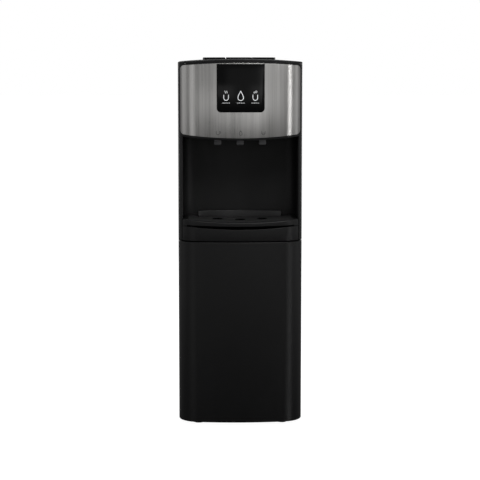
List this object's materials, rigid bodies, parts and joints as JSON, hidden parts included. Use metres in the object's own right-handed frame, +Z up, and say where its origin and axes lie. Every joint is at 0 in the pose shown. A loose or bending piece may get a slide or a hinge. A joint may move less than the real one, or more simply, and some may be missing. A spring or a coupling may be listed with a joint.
{
  "type": "floor-standing bottle water dispenser",
  "caption": "Floor-standing top-bottle water dispenser: bowed steel head with dark window, push-lever taps over a recess, pull-out drip tray, curved lower panel.",
  "frame": {"origin": "middle of the footprint, on the floor", "axes": "+Z up, -Y towards the user who stands at the taps, +X to that user's right"},
  "size_m": [0.31, 0.33, 0.92],
  "materials": {
    "black_plastic": "fine satin moulded ABS",
    "gloss_black": "high gloss",
    "black_paint": "satin powder coat on sheet steel",
    "brushed_steel": "vertically streaked brushed stainless",
    "tap_grey": "satin dark grey",
    "bare_steel": "drawn stainless",
    "foam": "moulded expanded foam",
    "silicone": "milky silicone",
    "copper": "drawn copper, slightly tarnished",
    "black_rubber": "matt rubber",
    "circuit_board": "green solder mask",
    "switch_red": "red rocker",
    "switch_green": "green rocker",
    "natural_plastic": "natural polypropylene"
  },
  "bodies": {
    "cabinet": {"base_pan": "black_paint", "side_panel_left": "black_paint", "side_panel_right": "black_paint", "rear_panel": "black_paint", "rear_grille": "black_paint", "front_panel": "black_plastic", "front_frame": "black_plastic", "steel_fascia": "brushed_steel", "display_window": "gloss_black", "indicator_board": "circuit_board", "top_cover": "black_plastic", "recess_liner": "black_plastic", "cold_tank": "bare_steel", "cold_tank_lid": "foam", "temperature_baffle": "natural_plastic", "evaporator_coil": "copper", "cold_tank_foam": "foam", "hot_tank": "bare_steel", "hot_tank_jacket": "foam", "heating_element": "copper", "hose_cold": "silicone", "hose_ambient": "silicone", "hose_hot": "silicone", "hose_feed": "silicone", "compressor": "black_paint", "condenser": "black_paint", "filter_drier": "copper", "switch_plate": "black_plastic", "drain_spigot": "black_plastic", "mains_gland": "black_rubber", "foot_front_left": "black_rubber", "foot_front_right": "black_rubber", "foot_rear_left": "black_rubber", "foot_rear_right": "black_rubber", "tap_body_hot": "tap_grey", "tap_pin_hot": "bare_steel", "tap_spring_hot": "bare_steel", "tap_body_ambient": "tap_grey", "tap_pin_ambient": "bare_steel", "tap_spring_ambient": "bare_steel", "tap_body_cold": "tap_grey", "tap_pin_cold": "bare_steel", "tap_spring_cold": "bare_steel"},
    "drawer": {"drip_tray": "black_plastic", "tray_fascia": "black_plastic"},
    "grille": {"drip_grille": "black_plastic", "splash_rim": "gloss_black"},
    "bottle_guard": {"bottle_collar": "black_plastic", "bottle_funnel": "black_plastic", "feed_probe": "tap_grey"},
    "heat_switch": {"heat_switch_rocker": "switch_red"},
    "cool_switch": {"cool_switch_rocker": "switch_green"},
    "seal": {"drain_seal": "black_rubber"},
    "cap": {"drain_cap": "gloss_black"},
    "lever_hot": {"tap_lever_hot": "tap_grey"},
    "stem_hot": {"tap_stem_hot": "silicone"},
    "lever_ambient": {"tap_lever_ambient": "tap_grey"},
    "stem_ambient": {"tap_stem_ambient": "silicone"},
    "lever_cold": {"tap_lever_cold": "tap_grey"},
    "stem_cold": {"tap_stem_cold": "silicone"}
  },
  "joints": [
    {"name": "tap_hot_push", "type": "hinge", "parent": "cabinet", "child": "lever_hot", "pos_m": [-0.056, -0.1, 0.78], "axis": [1, 0, 0], "range_deg": [0, 10], "stiffness_Nm_per_rad": 0.6, "springref_deg": -6.88},
    {"name": "tap_hot_stem_lift", "type": "slide", "parent": "cabinet", "child": "stem_hot", "axis": [0, 0, 1], "range_m": [0, 0.0036], "deforming": ["tap_spring_hot"]},
    {"name": "tap_ambient_push", "type": "hinge", "parent": "cabinet", "child": "lever_ambient", "pos_m": [0, -0.108, 0.78], "axis": [1, 0, 0], "range_deg": [0, 10], "stiffness_Nm_per_rad": 0.6, "springref_deg": -6.88},
    {"name": "tap_ambient_stem_lift", "type": "slide", "parent": "cabinet", "child": "stem_ambient", "axis": [0, 0, 1], "range_m": [0, 0.0036], "deforming": ["tap_spring_ambient"]},
    {"name": "tap_cold_push", "type": "hinge", "parent": "cabinet", "child": "lever_cold", "pos_m": [0.056, -0.1, 0.78], "axis": [1, 0, 0], "range_deg": [0, 10], "stiffness_Nm_per_rad": 0.6, "springref_deg": -6.88},
    {"name": "tap_cold_stem_lift", "type": "slide", "parent": "cabinet", "child": "stem_cold", "axis": [0, 0, 1], "range_m": [0, 0.0036], "deforming": ["tap_spring_cold"]},
    {"name": "drip_tray_pull", "type": "slide", "parent": "cabinet", "child": "drawer", "axis": [0, -1, 0], "range_m": [0, 0.14]},
    {"name": "grille_lift", "type": "slide", "parent": "drawer", "child": "grille", "axis": [0, 0, 1], "range_m": [0, 0.05]},
    {"name": "bottle_guard_lift", "type": "slide", "parent": "cabinet", "child": "bottle_guard", "axis": [0, 0, 1], "range_m": [0, 0.12]},
    {"name": "heat_switch_rock", "type": "hinge", "parent": "cabinet", "child": "heat_switch", "pos_m": [0.105, 0.131, 0.735], "axis": [1, 0, 0], "range_deg": [0, 14]},
    {"name": "cool_switch_rock", "type": "hinge", "parent": "cabinet", "child": "cool_switch", "pos_m": [0.079, 0.131, 0.735], "axis": [1, 0, 0], "range_deg": [0, 14]},
    {"name": "drain_cap_travel", "type": "slide", "parent": "cabinet", "child": "seal", "axis": [0, 1, 0], "range_m": [0, 0.0121]},
    {"name": "drain_cap_turn", "type": "hinge", "parent": "seal", "child": "cap", "pos_m": [-0.07, 0.146, 0.092], "axis": [0, 1, 0], "range_deg": [0, 1440]}
  ],
  "couplings": [
    {"joint": "tap_hot_stem_lift", "follows": "tap_hot_push", "m_per_rad": 0.02},
    {"joint": "tap_ambient_stem_lift", "follows": "tap_ambient_push", "m_per_rad": 0.02},
    {"joint": "tap_cold_stem_lift", "follows": "tap_cold_push", "m_per_rad": 0.02},
    {"joint": "drain_cap_travel", "follows": "drain_cap_turn", "m_per_rad": 0.0004775}
  ]
}
